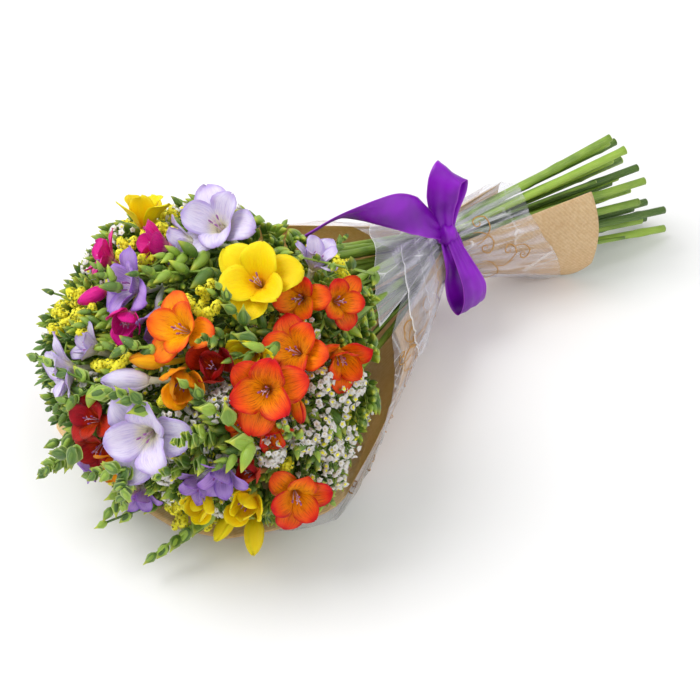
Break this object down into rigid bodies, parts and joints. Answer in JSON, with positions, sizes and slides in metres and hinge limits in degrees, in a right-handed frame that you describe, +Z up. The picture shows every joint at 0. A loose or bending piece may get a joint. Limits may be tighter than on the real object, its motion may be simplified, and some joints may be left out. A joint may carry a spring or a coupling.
{
  "type": "freesia bouquet",
  "caption": "Hand-tied freesia bouquet with filler sprays, wrapped in kraft paper and clear film and tied with a satin bow, lying on its side.",
  "frame": {"origin": "on the flat underside of the film, on the table under the back of the flower heads", "axes": "+X runs along the stems towards their cut ends, +Z is up, and +Y is to the left of a viewer who looks along +X"},
  "size_m": [0.502, 0.2587, 0.1894],
  "materials": {
    "amber_petals": "satin petal surface",
    "dark_red_petals": "satin petal surface",
    "lavender_petals": "satin petal surface",
    "magenta_petals": "satin petal surface",
    "orange_petals": "satin petal surface",
    "orange_red_petals": "satin petal surface",
    "violet_petals": "satin petal surface",
    "yellow_petals": "satin petal surface",
    "clear_film": "clear glossy film with gold-tan scrolls",
    "kraft_paper": "matt ribbed brown paper",
    "purple_satin": "bare purple satin",
    "solidago_florets": "matt yellow florets",
    "statice_florets": "matt off-white florets",
    "jute_string": "plain string",
    "green_stems": "satin green stem and buds"
  },
  "bodies": {
    "root": {"bloom_amber_left": "amber_petals", "bloom_amber_low": "amber_petals", "bloom_dark_red": "dark_red_petals", "bloom_lavender_back": "lavender_petals", "bloom_lavender_left": "lavender_petals", "bloom_lavender_low": "lavender_petals", "bloom_lavender_right": "lavender_petals", "bloom_lavender_top": "lavender_petals", "bloom_lavender_tube": "lavender_petals", "bloom_magenta_back": "magenta_petals", "bloom_magenta_left": "magenta_petals", "bloom_magenta_low": "magenta_petals", "bloom_magenta_top": "magenta_petals", "bloom_orange_left": "orange_petals", "bloom_orange_red_back": "orange_red_petals", "bloom_orange_red_large": "orange_red_petals", "bloom_orange_red_middle": "orange_red_petals", "bloom_orange_red_upper": "orange_red_petals", "bloom_red_cup": "dark_red_petals", "bloom_red_left": "dark_red_petals", "bloom_red_star": "orange_red_petals", "bloom_violet_low": "violet_petals", "bloom_violet_small": "violet_petals", "bloom_violet_upper": "violet_petals", "bloom_yellow_low": "yellow_petals", "bloom_yellow_middle": "yellow_petals", "bloom_yellow_top": "yellow_petals", "clear_film": "clear_film", "kraft_wrap": "kraft_paper", "ribbon": "purple_satin", "spray_solidago_left": "solidago_florets", "spray_solidago_low": "solidago_florets", "spray_solidago_middle": "solidago_florets", "spray_solidago_top": "solidago_florets", "spray_statice_centre": "statice_florets", "spray_statice_left": "statice_florets", "spray_statice_low": "statice_florets", "spray_statice_right": "statice_florets", "stem_binding": "jute_string", "stem_dark_red": "green_stems", "stem_lavender_back": "green_stems", "stem_lavender_left": "green_stems", "stem_lavender_low": "green_stems", "stem_lavender_top": "green_stems", "stem_magenta_back": "green_stems", "stem_magenta_left": "green_stems", "stem_magenta_low": "green_stems", "stem_magenta_top": "green_stems", "stem_orange_left": "green_stems", "stem_orange_red_back": "green_stems", "stem_orange_red_large": "green_stems", "stem_orange_red_middle": "green_stems", "stem_orange_red_upper": "green_stems", "stem_red_left": "green_stems", "stem_red_low": "green_stems", "stem_violet_low": "green_stems", "stem_violet_upper": "green_stems", "stem_yellow_low": "green_stems", "stem_yellow_middle": "green_stems", "stem_yellow_top": "green_stems"}
  },
  "joints": []
}
